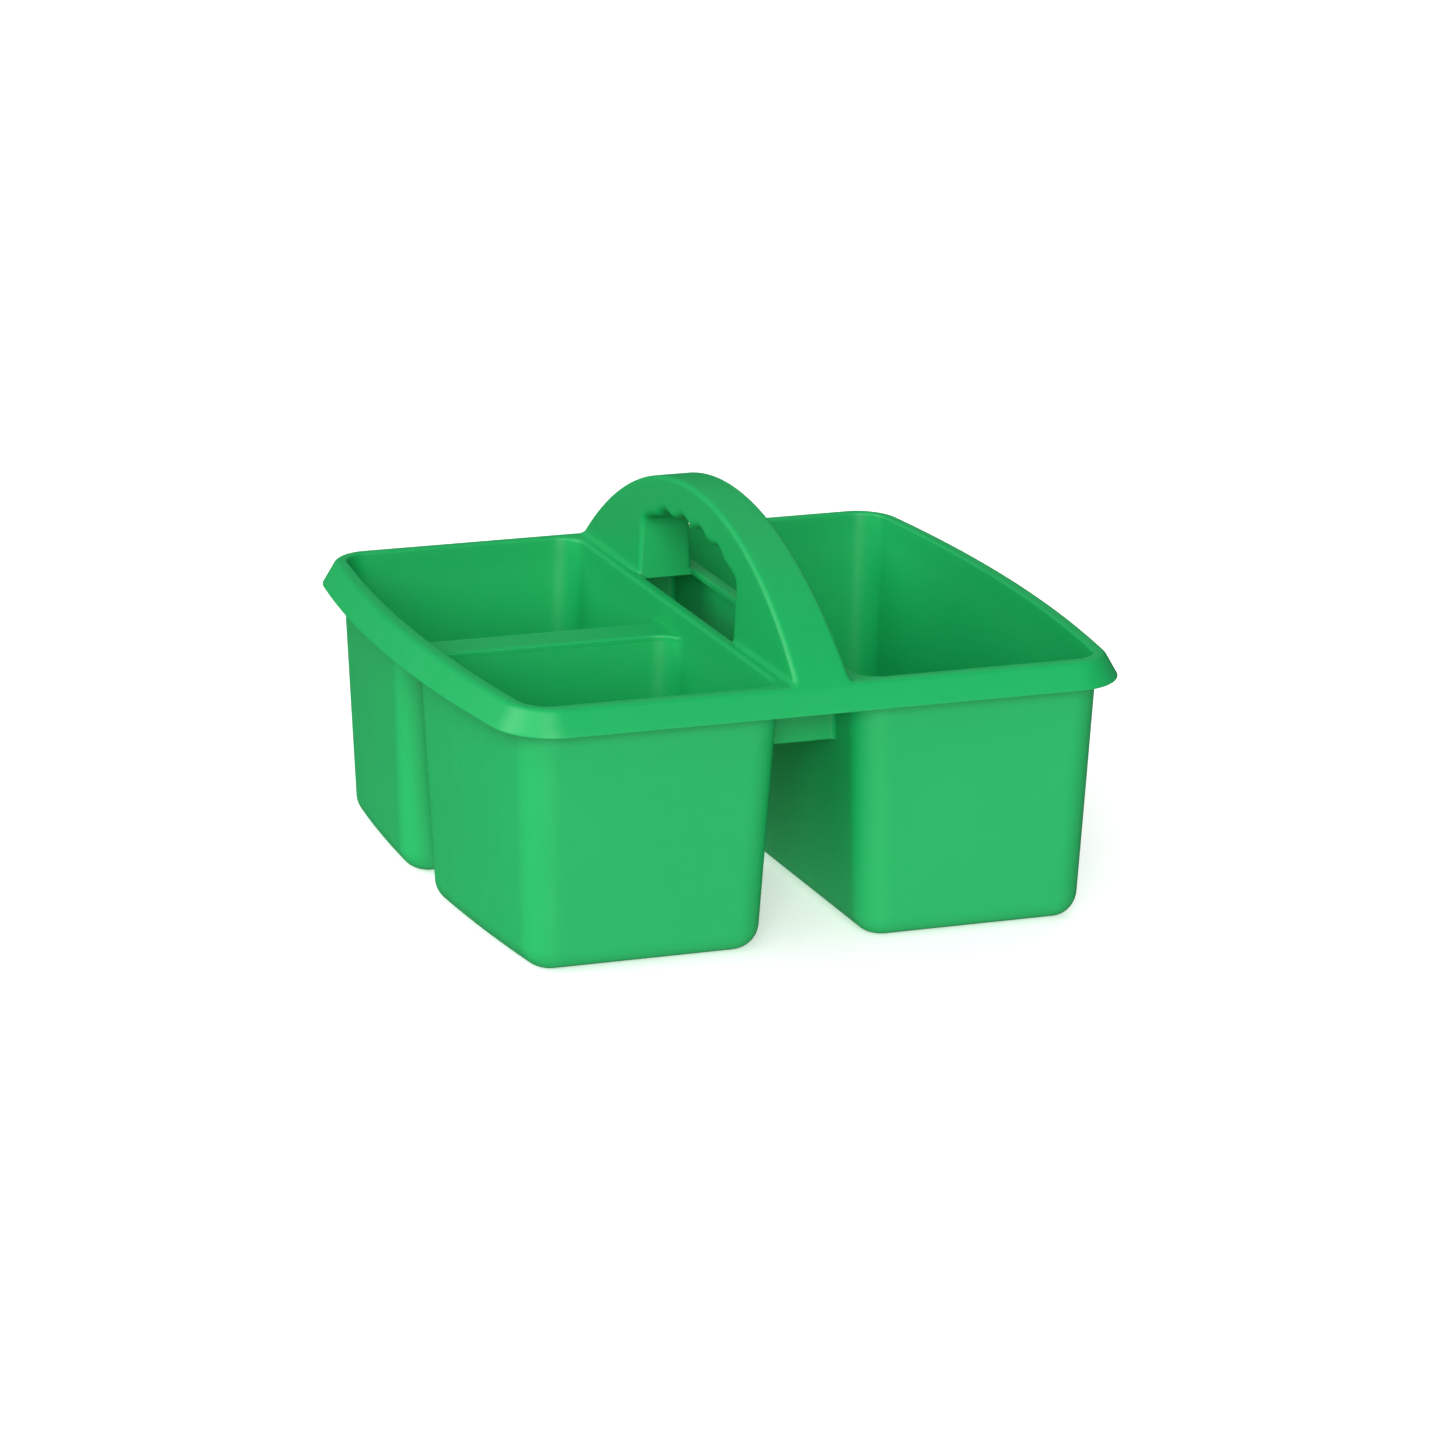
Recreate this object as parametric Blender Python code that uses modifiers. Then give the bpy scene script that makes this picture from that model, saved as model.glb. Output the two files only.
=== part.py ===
"""Cleaning caddy: three drafted bins under one flared rim, with a fixed arched carry handle.

The real caddy is a single plastic moulding, so nothing on it moves. It is modelled here region by region:
each bin, the rim, the bridge, the ledges, the end panels and the handle's grip and legs are separate solids
that stand CLEARANCE apart where the moulding runs on without a break.

Frame: +X to the wide bin's side, -Y to the front, +Z up; the origin is on the floor, under the rim's centre.
"""

import math

import bmesh
import bpy
from mathutils import Matrix, Vector

MM = 0.001

# Rim. The crest is the highest line of the rim; the skirt flares out and down from it.
RIM_LENGTH_X = 237.0 * MM
RIM_LENGTH_Y = 228.0 * MM
CREST_HEIGHT = 94.5 * MM
CREST_CORNER_RADIUS = 12.0 * MM
CREST_ROUNDING = 3.0 * MM
SKIRT_REACH = 7.1 * MM
SKIRT_DROP = 8.7 * MM
SKIRT_SLOPE = math.radians(57.5)
SIDE_BOW = 7.4 * MM
BOW_START = 35.0 * MM

# Walls. The bins' outer skin stands WALL_INSET inside the crest line.
WALL = 2.0 * MM
WALL_INSET = 1.1 * MM
DRAFT = math.radians(2.9)
BASE_RADIUS = 9.0 * MM

# The open channel under the handle, between the outer skins of the left bins and of the wide bin.
CHANNEL_LEFT = -12.0 * MM
CHANNEL_RIGHT = 13.7 * MM

# The bridge is the low strip between the two left bins, measured between their inner skins.
BRIDGE_FRONT = -2.4 * MM
BRIDGE_REAR = 14.1 * MM
BRIDGE_HEIGHT = 85.85 * MM

# Handle: an arch along Y, drafted in X, with a window for the hand and four finger grooves under the grip.
HANDLE_TOP = 136.9 * MM
HANDLE_HALF_WIDTH = 10.1 * MM
HANDLE_DRAFT = 0.05
GRIP_DEPTH = 13.6 * MM
WINDOW_HALF_LENGTH = 47.2 * MM
GROOVE_PITCH = 19.6 * MM
GROOVE_DEPTH = 2.0 * MM

# Two cross walls brace the channel under the handle's feet.
PANEL_FACE = 80.0 * MM
PANEL_BOTTOM = 66.5 * MM

CLEARANCE = 0.3 * MM

CREST_HALF_X = RIM_LENGTH_X / 2 - SKIRT_REACH
CREST_HALF_Y = RIM_LENGTH_Y / 2 - SKIRT_REACH
SKIN_HALF_X = CREST_HALF_X - WALL_INSET
SKIN_HALF_Y = CREST_HALF_Y - WALL_INSET
INNER_HALF_X = SKIN_HALF_X - WALL
INNER_HALF_Y = SKIN_HALF_Y - WALL
SKIN_CORNER_RADIUS = CREST_CORNER_RADIUS - WALL_INSET
INNER_CORNER_RADIUS = SKIN_CORNER_RADIUS - WALL
BELT_BOTTOM = BRIDGE_HEIGHT - WALL
BIN_TOP = BELT_BOTTOM - CLEARANCE - WALL * math.sin(DRAFT)
DECK_BOTTOM = CREST_HEIGHT - WALL

PLASTIC_GREEN = (0.026, 0.464, 0.127, 1.0)
PLASTIC_ROUGHNESS = 0.42


def clear_scene():
    for obj in list(bpy.data.objects):
        bpy.data.objects.remove(obj, do_unlink=True)


def new_collection(name):
    collection = bpy.data.collections.new(name)
    bpy.context.scene.collection.children.link(collection)
    return collection


def plastic(name):
    """The caddy's one green plastic, as a material of the sub-part's own."""
    material = bpy.data.materials.new(name)
    material.use_nodes = True
    shader = material.node_tree.nodes["Principled BSDF"]
    shader.inputs["Base Color"].default_value = PLASTIC_GREEN
    shader.inputs["Roughness"].default_value = PLASTIC_ROUGHNESS
    shader.inputs["Metallic"].default_value = 0.0
    material.diffuse_color = PLASTIC_GREEN
    return material


def add_object(name, data, collection, parent=None):
    obj = bpy.data.objects.new(name, data)
    collection.objects.link(obj)
    obj.parent = parent
    return obj


def finish_part(obj):
    """Gives a sub-part its material and smooth shading with crisp edges."""
    obj.data.materials.clear()
    obj.data.materials.append(plastic(obj.name + "_plastic"))
    obj.data.shade_smooth()
    obj.data.set_sharp_from_angle(angle=math.radians(35.0))


def add_bevel(obj, width, segments):
    bevel = obj.modifiers.new("edge_rounding", "BEVEL")
    bevel.width = width
    bevel.segments = segments
    bevel.limit_method = "ANGLE"
    bevel.angle_limit = math.radians(40.0)


def add_cut(obj, cutter):
    cut = obj.modifiers.new("cut_" + cutter.name, "BOOLEAN")
    cut.operation = "DIFFERENCE"
    cut.object = cutter


def hide_cutter(obj):
    obj.hide_render = True
    obj.display_type = "WIRE"


def bowed(point):
    """Pulls the caddy's left and right sides in towards their ends, so that both sides bow outwards."""
    across = max(0.0, abs(point.x) - BOW_START) / (CREST_HALF_X - BOW_START)
    along = point.y / CREST_HALF_Y
    point.x -= math.copysign(SIDE_BOW * across * along**2, point.x)
    return point


def bow_mesh(mesh):
    for vertex in mesh.vertices:
        vertex.co = bowed(vertex.co.copy())


def recentre(obj, origin):
    """Moves the object's origin to a point of the shape and leaves the shape where it is."""
    obj.data.transform(Matrix.Translation(-origin))
    obj.location = origin


def corner_arc(centre, radius, start, sweep, steps):
    """Points of an arc in plan; angles are in degrees, counter-clockwise from +X."""
    points = []
    for step in range(steps + 1):
        angle = math.radians(start + sweep * step / steps)
        points.append((centre[0] + radius * math.cos(angle), centre[1] + radius * math.sin(angle)))
    return points


def rounded_rectangle(half_x, half_y, radius, arc_steps, side_steps):
    """A closed plan outline, counter-clockwise, with extra points along its sides for the bow."""
    outline = []
    for quarter, (side_x, side_y) in enumerate(((1, 1), (-1, 1), (-1, -1), (1, -1))):
        centre = (side_x * (half_x - radius), side_y * (half_y - radius))
        outline += corner_arc(centre, radius, 90.0 * quarter, 90.0, arc_steps)
    dense = []
    for here, ahead in zip(outline, outline[1:] + outline[:1]):
        steps = side_steps if math.dist(here, ahead) > radius else 1
        for step in range(steps):
            share = step / steps
            dense.append((here[0] + share * (ahead[0] - here[0]), here[1] + share * (ahead[1] - here[1])))
    return dense


def curve_from_outline(name, outline, fill="BOTH"):
    """A closed 2D poly curve through the outline's points."""
    curve = bpy.data.curves.new(name, "CURVE")
    curve.dimensions = "2D"
    curve.fill_mode = fill
    spline = curve.splines.new("POLY")
    spline.points.add(len(outline) - 1)
    for point, (x, y) in zip(spline.points, outline):
        point.co = (x, y, 0.0, 1.0)
    spline.use_cyclic_u = True
    return curve


def mesh_from_curve(curve, guides):
    """The mesh that a curve makes, with its loose caps welded; the curve itself is removed."""
    guide = add_object(curve.name, curve, guides)
    bpy.context.view_layer.update()
    evaluated = guide.evaluated_get(bpy.context.evaluated_depsgraph_get())
    mesh = bpy.data.meshes.new_from_object(evaluated)
    shape = bmesh.new()
    shape.from_mesh(mesh)
    bmesh.ops.remove_doubles(shape, verts=shape.verts, dist=0.00001)
    bmesh.ops.recalc_face_normals(shape, faces=shape.faces)
    shape.to_mesh(mesh)
    shape.free()
    bpy.data.objects.remove(guide, do_unlink=True)
    return mesh


def plate_mesh(name, outline, bottom, top, guides):
    """A flat plate: a plan outline, filled and given the thickness between two heights."""
    curve = curve_from_outline(name, outline)
    curve.extrude = (top - bottom) / 2
    mesh = mesh_from_curve(curve, guides)
    mesh.transform(Matrix.Translation((0.0, 0.0, (top + bottom) / 2)))
    return mesh


def make_bin(name, x_range, y_range, parts, frame):
    """An open drafted tub. The ranges are its outer skin at crest height, before the draft pulls it in."""
    inset_at_top = math.tan(DRAFT) * (CREST_HEIGHT - BIN_TOP)
    inset_at_base = math.tan(DRAFT) * CREST_HEIGHT
    centre = Vector((sum(x_range) / 2, sum(y_range) / 2, 0.0))
    half = Vector(((x_range[1] - x_range[0]) / 2, (y_range[1] - y_range[0]) / 2, 0.0))
    shape = bmesh.new()
    bmesh.ops.create_cube(shape, size=2.0)
    for vertex in shape.verts:
        inset = inset_at_base if vertex.co.z < 0 else inset_at_top
        height = 0.0 if vertex.co.z < 0 else BIN_TOP
        vertex.co.x = centre.x + vertex.co.x * (half.x - inset)
        vertex.co.y = centre.y + vertex.co.y * (half.y - inset)
        vertex.co.z = height
    uprights = [edge for edge in shape.edges if abs(edge.verts[0].co.z - edge.verts[1].co.z) > BIN_TOP / 2]
    bmesh.ops.bevel(
        shape, geom=uprights, offset=SKIN_CORNER_RADIUS, segments=6, profile=0.5, affect="EDGES"
    )
    base_edges = [edge for edge in shape.edges if max(vertex.co.z for vertex in edge.verts) < MM]
    bmesh.ops.bevel(shape, geom=base_edges, offset=BASE_RADIUS, segments=4, profile=0.5, affect="EDGES")
    mouth = [face for face in shape.faces if face.normal.z > 0.9]
    bmesh.ops.delete(shape, geom=mouth, context="FACES_ONLY")
    stations = 8
    for station in range(1, stations):
        y = y_range[0] + (y_range[1] - y_range[0]) * station / stations
        geometry = shape.verts[:] + shape.edges[:] + shape.faces[:]
        bmesh.ops.bisect_plane(shape, geom=geometry, plane_co=(0.0, y, 0.0), plane_no=(0.0, 1.0, 0.0))
    mesh = bpy.data.meshes.new(name)
    shape.to_mesh(mesh)
    shape.free()
    bow_mesh(mesh)
    tub = add_object(name, mesh, parts, frame)
    recentre(tub, centre)
    shell = tub.modifiers.new("wall", "SOLIDIFY")
    shell.thickness = WALL
    shell.offset = -1.0
    shell.use_even_offset = True
    finish_part(tub)
    return tub


def rim_section():
    """The rim's cross-section: belt, crest and flared skirt.

    A curve lays its bevel section with the -x side outwards, so the points' x is mirrored on the way out.
    """
    belt_inside = -(WALL_INSET + WALL)
    bend_x = belt_inside + CREST_ROUNDING
    bend_y = CREST_HEIGHT - CREST_ROUNDING
    outside = [(belt_inside, BELT_BOTTOM)]
    inside = [(belt_inside + WALL, BELT_BOTTOM)]
    bend_steps = 6
    for step in range(bend_steps + 1):
        angle = math.pi - (math.pi / 2 + SKIRT_SLOPE) * step / bend_steps
        direction = (math.cos(angle), math.sin(angle))
        outside.append((bend_x + CREST_ROUNDING * direction[0], bend_y + CREST_ROUNDING * direction[1]))
        inner_radius = CREST_ROUNDING - WALL
        inside.append((bend_x + inner_radius * direction[0], bend_y + inner_radius * direction[1]))
    for line in (outside, inside):
        fall = line[-1][1] - (CREST_HEIGHT - SKIRT_DROP)
        line.append((line[-1][0] + fall / math.tan(SKIRT_SLOPE), CREST_HEIGHT - SKIRT_DROP))
    return [(-x, y) for x, y in outside + inside[::-1]]


def make_rim(parts, guides, frame):
    outline = rounded_rectangle(CREST_HALF_X, CREST_HALF_Y, CREST_CORNER_RADIUS, 6, 12)
    section = add_object("rim_section", curve_from_outline("rim_section", rim_section(), "NONE"), guides)
    path = curve_from_outline("rim_path", outline, "NONE")
    path.bevel_mode = "OBJECT"
    path.bevel_object = section
    mesh = mesh_from_curve(path, guides)
    bpy.data.objects.remove(section, do_unlink=True)
    bow_mesh(mesh)
    rim = add_object("rim_skirt", mesh, parts, frame)
    recentre(rim, Vector((0.0, 0.0, CREST_HEIGHT)))
    finish_part(rim)


def make_bridge(parts, guides, frame):
    """The low strip over the gap between the left bins; its ends flare to meet the bins' round corners."""
    left = -INNER_HALF_X + CLEARANCE
    right = CHANNEL_LEFT - WALL - CLEARANCE
    radius = INNER_CORNER_RADIUS
    outline = corner_arc((left + radius, BRIDGE_FRONT - radius), radius, 180.0, -90.0, 5)
    outline += corner_arc((right - radius, BRIDGE_FRONT - radius), radius, 90.0, -90.0, 5)
    outline += corner_arc((right - radius, BRIDGE_REAR + radius), radius, 0.0, -90.0, 5)
    outline += corner_arc((left + radius, BRIDGE_REAR + radius), radius, 270.0, -90.0, 5)
    mesh = plate_mesh("bin_bridge", outline, BELT_BOTTOM, BRIDGE_HEIGHT, guides)
    bow_mesh(mesh)
    bridge = add_object("bin_bridge", mesh, parts, frame)
    recentre(bridge, Vector(((left + right) / 2, (BRIDGE_FRONT + BRIDGE_REAR) / 2, BRIDGE_HEIGHT)))
    finish_part(bridge)
    add_bevel(bridge, 0.8 * MM, 2)


def make_ledge(name, side, bin_wall, parts, cutters, frame):
    """The top of a bin's wall beside the handle, with the shelf that joins it to the handle's side."""
    radius = INNER_CORNER_RADIUS
    end = INNER_HALF_Y - CLEARANCE
    bin_face = bin_wall + side * WALL
    handle_face = side * (HANDLE_HALF_WIDTH + HANDLE_DRAFT * WALL + CLEARANCE)
    arc_x = bin_face + side * radius
    facing_bin_wall = 180.0 if side > 0 else 360.0
    turn = -side * 90.0
    outline = corner_arc((arc_x, -end + radius), radius, 270.0, turn, 5)
    outline += corner_arc((arc_x, end - radius), radius, facing_bin_wall, turn, 5)
    outline += [(handle_face, end), (handle_face, -end)]
    mesh = plate_mesh(name, outline, BELT_BOTTOM, CREST_HEIGHT, cutters)
    ledge = add_object(name, mesh, parts, frame)
    hollow = bpy.data.meshes.new("under_" + name)
    shape = bmesh.new()
    bmesh.ops.create_cube(shape, size=2.0)
    low = Vector((min(bin_wall, handle_face - side * MM), -end - MM, BELT_BOTTOM - MM))
    high = Vector((max(bin_wall, handle_face - side * MM), end + MM, DECK_BOTTOM))
    bmesh.ops.scale(shape, vec=(high - low) / 2, verts=shape.verts)
    bmesh.ops.translate(shape, vec=(high + low) / 2, verts=shape.verts)
    shape.to_mesh(hollow)
    shape.free()
    cutter = add_object("under_" + name, hollow, cutters)
    hide_cutter(cutter)
    finish_part(ledge)
    add_cut(ledge, cutter)


def make_panel(name, side, parts, frame):
    """The wall that hangs from the deck across the channel; its ends are drafted like the bins' walls."""
    left = CHANNEL_LEFT + CLEARANCE
    right = CHANNEL_RIGHT - CLEARANCE
    top = DECK_BOTTOM - CLEARANCE
    size = Vector((right - left, WALL, top - PANEL_BOTTOM))
    centre = Vector(((left + right) / 2, side * (PANEL_FACE - WALL / 2), (top + PANEL_BOTTOM) / 2))
    mesh = bpy.data.meshes.new(name)
    shape = bmesh.new()
    bmesh.ops.create_cube(shape, size=1.0)
    bmesh.ops.scale(shape, vec=size, verts=shape.verts)
    for vertex in shape.verts:
        widening = math.tan(DRAFT) * (BELT_BOTTOM - centre.z - vertex.co.z)
        vertex.co.x += widening * math.copysign(1.0, vertex.co.x)
    shape.to_mesh(mesh)
    shape.free()
    panel = add_object(name, mesh, parts, frame)
    panel.location = centre
    finish_part(panel)
    add_bevel(panel, 0.5 * MM, 2)


def arch_height(y, drop=0.0):
    """Height of the handle's top arc over a point of its length, or of an arc that lies drop below it."""
    rise = HANDLE_TOP - CREST_HEIGHT
    radius = (CREST_HALF_Y**2 + rise**2) / (2 * rise)
    return HANDLE_TOP - radius + math.sqrt((radius - drop) ** 2 - y**2)


def grip_underside(y):
    """The grip's lower line, which rises into a groove for each of four fingers."""
    groove = (1.0 - math.cos(2 * math.pi * y / GROOVE_PITCH)) / 2
    return arch_height(y, GRIP_DEPTH) + GROOVE_DEPTH * (groove - 0.5)


def spread(start, end, steps):
    return [start + (end - start) * step / steps for step in range(steps + 1)]


def drafted_profile(name, profile, half_width, guides):
    """A side view given a width in X that narrows with height. The profile's points are (y, z)."""
    curve = curve_from_outline(name, profile)
    curve.extrude = half_width
    mesh = mesh_from_curve(curve, guides)
    mesh.transform(Matrix(((0, 0, 1, 0), (1, 0, 0, 0), (0, 1, 0, 0), (0, 0, 0, 1))))
    for vertex in mesh.vertices:
        narrowing = HANDLE_DRAFT * (vertex.co.z - CREST_HEIGHT)
        vertex.co.x -= math.copysign(narrowing, vertex.co.x)
    return mesh


def make_grip(parts, guides, frame):
    half_length = WINDOW_HALF_LENGTH
    top = [(y, arch_height(y)) for y in spread(-half_length, half_length, 20)]
    underside = [(y, grip_underside(y)) for y in spread(half_length, -half_length, 40)]
    mesh = drafted_profile("handle_grip", top + underside, HANDLE_HALF_WIDTH, guides)
    grip = add_object("handle_grip", mesh, parts, frame)
    recentre(grip, Vector((0.0, 0.0, HANDLE_TOP)))
    finish_part(grip)


def make_leg(name, side, parts, cutters, frame):
    """One hollow foot of the arch, from the window's end wall out to the rim, open underneath."""
    window_end = WINDOW_HALF_LENGTH + CLEARANCE
    belt_face = INNER_HALF_Y - CLEARANCE
    foot = CREST_HEIGHT + CLEARANCE
    tip = CREST_HALF_Y - CLEARANCE
    profile = [(window_end, DECK_BOTTOM), (belt_face, DECK_BOTTOM), (belt_face, foot), (tip, foot)]
    profile += [(y, arch_height(y)) for y in spread(tip, window_end, 14)]
    profile = [(side * y, z) for y, z in profile]
    mesh = drafted_profile(name, profile, HANDLE_HALF_WIDTH, cutters)
    leg = add_object(name, mesh, parts, frame)
    recentre(leg, Vector((0.0, side * window_end, DECK_BOTTOM)))
    cavity = [(window_end + WALL, DECK_BOTTOM - WALL), (belt_face - WALL, DECK_BOTTOM - WALL)]
    cavity_arc = spread(belt_face - WALL, window_end + WALL, 10)
    cavity += [(y, arch_height(y, WALL)) for y in cavity_arc]
    cavity = [(side * y, z) for y, z in cavity]
    cutter_mesh = drafted_profile("inside_" + name, cavity, HANDLE_HALF_WIDTH - WALL, cutters)
    cutter = add_object("inside_" + name, cutter_mesh, cutters)
    hide_cutter(cutter)
    finish_part(leg)
    add_cut(leg, cutter)


def main():
    clear_scene()
    parts = new_collection("cleaning_caddy")
    cutters = new_collection("cutters")
    frame = add_object("caddy_frame", None, parts)
    left_x = (-SKIN_HALF_X, CHANNEL_LEFT)
    make_bin("front_left_bin", left_x, (-SKIN_HALF_Y, BRIDGE_FRONT + WALL), parts, frame)
    make_bin("rear_left_bin", left_x, (BRIDGE_REAR - WALL, SKIN_HALF_Y), parts, frame)
    make_bin("right_bin", (CHANNEL_RIGHT, SKIN_HALF_X), (-SKIN_HALF_Y, SKIN_HALF_Y), parts, frame)
    make_rim(parts, cutters, frame)
    make_bridge(parts, cutters, frame)
    make_ledge("left_handle_ledge", -1, CHANNEL_LEFT, parts, cutters, frame)
    make_ledge("right_handle_ledge", 1, CHANNEL_RIGHT, parts, cutters, frame)
    make_panel("front_channel_panel", -1, parts, frame)
    make_panel("rear_channel_panel", 1, parts, frame)
    make_grip(parts, cutters, frame)
    make_leg("front_handle_leg", -1, parts, cutters, frame)
    make_leg("rear_handle_leg", 1, parts, cutters, frame)


main()
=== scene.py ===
"""The cleaning caddy's looks: one satin green moulding, built region by region around the CAD frame.

Every region is a closed surface made of rings of points with bands of faces between them. The plan is worked
out with straight left and right sides, and bowed() then curves those sides, as on the CAD solids.
"""

import math

import bmesh
import bpy
from mathutils import Matrix, Vector


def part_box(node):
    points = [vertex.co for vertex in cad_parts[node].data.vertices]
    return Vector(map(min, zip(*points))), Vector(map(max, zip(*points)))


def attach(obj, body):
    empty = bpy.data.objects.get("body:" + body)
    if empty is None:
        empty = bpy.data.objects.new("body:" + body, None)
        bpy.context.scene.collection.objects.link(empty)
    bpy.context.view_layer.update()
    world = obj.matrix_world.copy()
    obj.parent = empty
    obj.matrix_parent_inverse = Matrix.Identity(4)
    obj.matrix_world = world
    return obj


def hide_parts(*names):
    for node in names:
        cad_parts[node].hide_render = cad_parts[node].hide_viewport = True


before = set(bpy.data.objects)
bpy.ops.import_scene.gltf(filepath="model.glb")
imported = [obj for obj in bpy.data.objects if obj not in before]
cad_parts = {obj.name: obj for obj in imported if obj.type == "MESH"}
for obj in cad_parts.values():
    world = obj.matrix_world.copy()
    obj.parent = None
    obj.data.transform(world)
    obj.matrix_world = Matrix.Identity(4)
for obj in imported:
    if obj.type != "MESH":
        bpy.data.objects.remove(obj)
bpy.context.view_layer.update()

MM = 0.001

# The moulding's wall and its roundings.
WALL = 2.0 * MM
DRAFT = math.radians(2.9)
SIDE_BOW = 7.4 * MM
BOW_START = 35.0 * MM
CREST_CORNER_RADIUS = 12.0 * MM
CREST_ROUNDING = 3.0 * MM
CREST_ROLL_OUT = -0.1 * MM
WALL_INSET = 1.1 * MM
SKIRT_REACH = 7.1 * MM
SKIRT_DROP = 8.8 * MM
SKIRT_SLOPE = math.radians(57.5)
SKIRT_TIP_ROUNDING = 0.4 * MM
RIM_EDGE = 1.0 * MM
LEDGE_EDGE = 1.5 * MM
SLOT_EDGE = 0.6 * MM
SLOT_FILLET = 1.2 * SLOT_EDGE
POCKET_RADIUS = 1.0 * MM
BASE_RADIUS = 9.0 * MM
FLOOR_MARGIN = 1.0 * MM
BRIDGE_EDGE = 1.0 * MM
BRIDGE_FILLET = 1.2 * MM
BRIDGE_BURIED = 1.3 * MM
BRACE_FILLET = 2.0 * MM
BRACE_EDGE = 0.5 * MM

# The handle.
HANDLE_DRAFT = 0.05
GRIP_DEPTH = 13.6 * MM
GROOVE_PITCH = 19.6 * MM
GROOVE_DEPTH = 2.0 * MM
GROOVED_HALF = 2 * GROOVE_PITCH
BAND_EDGE = 1.8 * MM
WINDOW_EDGE = 1.5 * MM
GRIP_EDGE = 3.0 * MM
WINDOW_FILLET = 4.5 * MM
FOOT_FILLET = 1.8 * MM
LEDGE_END = 94.0 * MM
SOLE_DEPTH = 0.03 * MM
PLUG_GAP = 0.05 * MM

# Steps of the surfaces.
CORNER_STEPS = 12
LONG_STEPS = 40
ARC_STEPS = 8
GRIP_STEPS = 56
CORNER_TURN_STEPS = 10
CORNER_TURN = math.radians(6.0)
WALL_STEPS = 8
LEDGE_STEPS = 24
BRIDGE_STEPS = 20
BRACE_STEPS = 6
BRACE_EDGE_STEPS = 3
BRACE_FILLET_STEPS = 5
LEG_STEPS = 26
FOOT_STEPS = 10
HOLLOW_STEPS = 16
GROOVE_NUDGE = 1e-4
SHARP_ANGLE = math.radians(38.0)

SKIN_RADIUS = CREST_CORNER_RADIUS - WALL_INSET
INNER_RADIUS = SKIN_RADIUS - WALL

rim_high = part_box("rim_skirt")[1]
left_ledge_low, left_ledge_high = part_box("left_handle_ledge")
right_ledge_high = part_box("right_handle_ledge")[1]
bridge_low, bridge_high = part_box("bin_bridge")
grip_low, grip_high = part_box("handle_grip")
leg_low, leg_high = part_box("front_handle_leg")
brace_low, brace_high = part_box("front_channel_panel")

crest_z = left_ledge_high.z
belt_z = left_ledge_low.z
deck_z = crest_z - WALL
crest_half = Vector((rim_high.x - SKIRT_REACH, rim_high.y - SKIRT_REACH))
skin_half = crest_half - Vector((WALL_INSET, WALL_INSET))
channel_left = left_ledge_low.x + INNER_RADIUS + WALL
channel_right = right_ledge_high.x - INNER_RADIUS - WALL
bridge_front = bridge_low.y + INNER_RADIUS
bridge_rear = bridge_high.y - INNER_RADIUS
bridge_top = bridge_high.z
window_half = (grip_high.y - grip_low.y) / 2
handle_half_width = leg_high.x - HANDLE_DRAFT * (crest_z - leg_low.z)
handle_top = grip_high.z


# ---------------------------------------------------------------- plan and profile helpers

def bowed(x, y):
    """Curves the caddy's left and right sides in towards their ends."""
    across = max(0.0, abs(x) - BOW_START) / (crest_half.x - BOW_START)
    along = y / crest_half.y
    return x - math.copysign(SIDE_BOW * across * along**2, x)


def draft_inset(z):
    """How far a wall has moved inwards at a height below the crest."""
    return math.tan(DRAFT) * (crest_z - z)


def inset_box(low, high, inset):
    step = Vector((inset, inset))
    return low + step, high - step


def outline(low, high, radius):
    """A rounded rectangle in plan, counter-clockwise, as (point, outward normal) pairs."""
    found = []
    for quarter, (side_x, side_y) in enumerate(((1, 1), (-1, 1), (-1, -1), (1, -1))):
        centre = Vector((high.x - radius if side_x > 0 else low.x + radius,
                         high.y - radius if side_y > 0 else low.y + radius))
        for step in range(CORNER_STEPS + 1):
            angle = math.radians(90.0 * (quarter + step / CORNER_STEPS))
            normal = Vector((math.cos(angle), math.sin(angle)))
            found.append((centre + radius * normal, normal))
    sides = []
    for here, ahead in zip(found, found[1:] + found[:1]):
        sides.append(here)
        if (here[1] - ahead[1]).length < 1e-6:
            sides += [(here[0].lerp(ahead[0], step / LONG_STEPS), here[1]) for step in range(1, LONG_STEPS)]
    return sides


def lifted(points, offset, height):
    """An outline pushed outwards and raised. Offset and height are numbers, or functions of the normal."""
    raised = []
    for point, normal in points:
        out = offset(normal) if callable(offset) else offset
        z = height(normal) if callable(height) else height
        moved = point + normal * out
        raised.append(Vector((bowed(moved.x, moved.y), moved.y, z)))
    return raised


def spread(start, end, steps):
    return [start + (end - start) * step / steps for step in range(steps + 1)]


def round_corner(before, corner, after, radius, steps=4):
    """Points of the arc that rounds one corner of a 2D polyline."""
    back = (before - corner).normalized()
    on = (after - corner).normalized()
    half = back.angle(on) / 2
    centre = corner + (back + on).normalized() * radius / math.sin(half)
    start = corner + back * radius / math.tan(half) - centre
    end = corner + on * radius / math.tan(half) - centre
    turn = start.angle(end)
    arc = []
    for share in spread(0.0, 1.0, steps):
        blend = start * math.sin((1 - share) * turn) + end * math.sin(share * turn)
        arc.append(centre + blend / math.sin(turn))
    return arc


def mouth_arc(radius):
    """The rounding of an opening's top edge, as (offset from the wall line, depth below the crest) pairs."""
    reach = radius * (math.cos(DRAFT) - math.tan(DRAFT) * (1.0 - math.sin(DRAFT)))
    arc = []
    for angle in spread(DRAFT, math.pi / 2, ARC_STEPS):
        arc.append((reach - radius * math.cos(angle), radius * (1.0 - math.sin(angle))))
    return arc


def smooth(share):
    share = min(1.0, max(0.0, share))
    return share * share * (3.0 - 2.0 * share)


# ---------------------------------------------------------------- surfaces

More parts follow.
